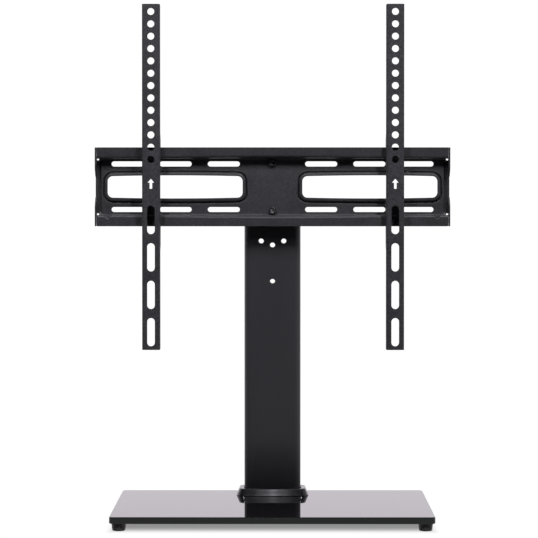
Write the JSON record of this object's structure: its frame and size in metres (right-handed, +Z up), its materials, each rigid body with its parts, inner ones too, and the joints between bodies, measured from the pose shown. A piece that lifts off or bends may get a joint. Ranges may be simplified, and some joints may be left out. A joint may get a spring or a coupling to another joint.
{
  "type": "television stand with mount",
  "caption": "Table-top television stand: black glass base on rubber feet, steel column with trim collar, slotted mount plate with windows, and slotted arms that hook on and slide sideways.",
  "frame": {"origin": "on the floor, under the middle of the glass base, which is the bottom centre of the whole stand's box", "axes": "+Z up; -Y towards the television and the picture's viewer; +X to that viewer's right"},
  "size_m": [0.44, 0.24, 0.6268],
  "materials": {
    "black_glass": "polished black tempered glass, opaque, with ground edges",
    "foot_rubber": "matt moulded rubber",
    "gasket_rubber": "matt rubber sheet",
    "column_paint": "satin black powder coat, fine",
    "powder_coat": "semi-matt black powder coat with a fine grain",
    "cap_plastic": "matt moulded black plastic",
    "trim_plastic": "semi-gloss moulded black plastic",
    "black_screw": "blackened steel, semi-gloss",
    "zinc_steel": "zinc plated steel"
  },
  "bodies": {
    "stand": {"glass_base": "black_glass", "foot_front_left": "foot_rubber", "foot_front_right": "foot_rubber", "foot_rear_left": "foot_rubber", "foot_rear_right": "foot_rubber", "foot_gasket": "gasket_rubber", "column_foot_plate": "powder_coat", "under_gasket": "gasket_rubber", "spreader_plate": "powder_coat", "base_screw_1": "zinc_steel", "base_screw_2": "zinc_steel", "base_screw_3": "zinc_steel", "base_screw_4": "zinc_steel", "base_washer_1": "zinc_steel", "base_washer_2": "zinc_steel", "base_washer_3": "zinc_steel", "base_washer_4": "zinc_steel", "column_tube": "column_paint", "column_cap": "cap_plastic", "base_collar": "trim_plastic", "mount_plate": "powder_coat", "plate_screw_upper": "black_screw", "plate_screw_lower": "black_screw", "plate_spacer_upper": "cap_plastic", "plate_spacer_lower": "cap_plastic", "rear_washer_upper": "zinc_steel", "rear_washer_lower": "zinc_steel", "rear_nut_upper": "zinc_steel", "rear_nut_lower": "zinc_steel"},
    "arm_left": {"arm_left": "powder_coat"},
    "arm_right": {"arm_right": "powder_coat"},
    "lock_screw_left": {"lock_screw_left": "black_screw"},
    "lock_screw_right": {"lock_screw_right": "black_screw"}
  },
  "joints": [
    {"name": "arm_left_slide", "type": "slide", "parent": "stand", "child": "arm_left", "axis": [-1, 0, 0], "range_m": [-0.1376, 0.0569]},
    {"name": "arm_right_slide", "type": "slide", "parent": "stand", "child": "arm_right", "axis": [1, 0, 0], "range_m": [-0.1392, 0.0553]},
    {"name": "lock_left_screw", "type": "slide", "parent": "arm_left", "child": "lock_screw_left", "axis": [0, 0, 1], "range_m": [-0.0075, 0]},
    {"name": "lock_right_screw", "type": "slide", "parent": "arm_right", "child": "lock_screw_right", "axis": [0, 0, 1], "range_m": [-0.0075, 0]}
  ]
}
